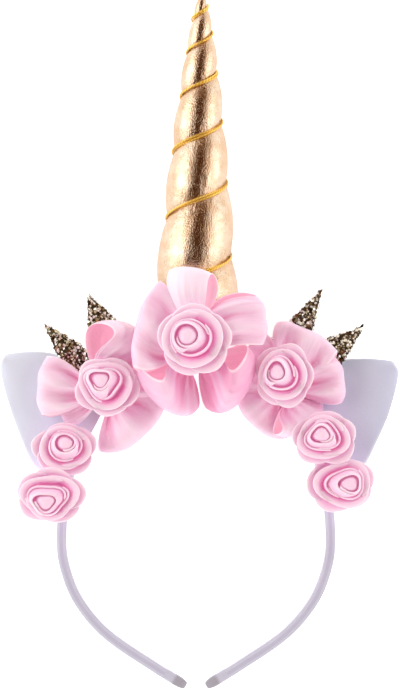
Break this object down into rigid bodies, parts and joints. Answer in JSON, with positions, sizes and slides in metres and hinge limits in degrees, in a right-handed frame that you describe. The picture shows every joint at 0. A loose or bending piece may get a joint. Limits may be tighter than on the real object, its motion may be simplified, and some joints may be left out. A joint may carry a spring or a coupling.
{
  "type": "unicorn horn headband",
  "caption": "Costume headband with a stuffed spiral-wound horn, two ears, pointed glitter trim, satin ribbon bows and foam roses on a ribbon-wrapped hoop.",
  "frame": {"origin": "middle of the top of the hoop, on the back edge of the band, which lies on the table", "axes": "+Y from the top of the hoop to the tip of the horn, +Z to the faces of the flowers, +X to the right of a front view"},
  "size_m": [0.2006, 0.349, 0.0578],
  "materials": {
    "lavender_satin": "satin ribbon",
    "grey_sleeve": "woven sleeve",
    "gold_foil": "metallic foil cloth",
    "gold_cord": "metallic twisted cord",
    "pale_felt": "smooth felt",
    "gold_glitter": "coarse glitter",
    "pink_satin": "satin ribbon",
    "pink_foam": "matt foam"
  },
  "bodies": {
    "root": {"headband": "lavender_satin", "end_sleeve_left": "grey_sleeve", "end_sleeve_right": "grey_sleeve", "horn": "gold_foil", "horn_cord": "gold_cord", "ear_left": "pale_felt", "ear_right": "pale_felt", "glitter_point_left_upper": "gold_glitter", "glitter_point_left_lower": "gold_glitter", "glitter_point_right_upper": "gold_glitter", "glitter_point_right_lower": "gold_glitter", "bow_centre": "pink_satin", "bow_left": "pink_satin", "bow_right": "pink_satin", "rose_centre": "pink_foam", "rose_left_upper": "pink_foam", "rose_left_middle": "pink_foam", "rose_left_lower": "pink_foam", "rose_right_upper": "pink_foam", "rose_right_middle": "pink_foam", "rose_right_lower": "pink_foam"}
  },
  "joints": []
}
